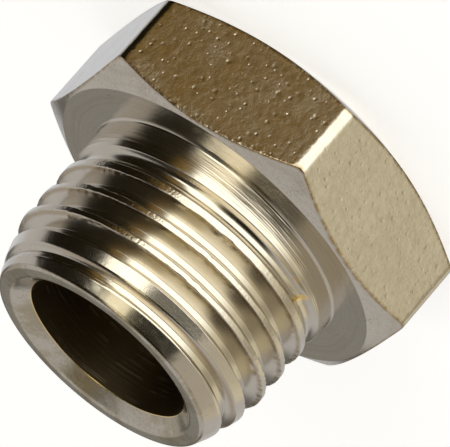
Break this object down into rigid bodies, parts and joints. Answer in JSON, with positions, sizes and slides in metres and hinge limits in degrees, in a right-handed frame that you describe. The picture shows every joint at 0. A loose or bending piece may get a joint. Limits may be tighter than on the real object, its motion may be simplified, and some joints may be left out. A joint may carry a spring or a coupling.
{
  "type": "threaded plug",
  "caption": "Closing plug with a hexagon head, a flat sealing face and a hollow externally threaded shank, for shutting a threaded pipe port.",
  "frame": {"origin": "centre of the head's outer face, on which the plug stands", "axes": "+Z along the shank towards its open end; two flats of the hexagon are square to X"},
  "size_m": [0.017, 0.0194, 0.0131],
  "materials": {
    "nickel_plated_brass": "nickel plated over turned brass"
  },
  "bodies": {
    "root": {"hex_plug": "nickel_plated_brass"}
  },
  "joints": []
}
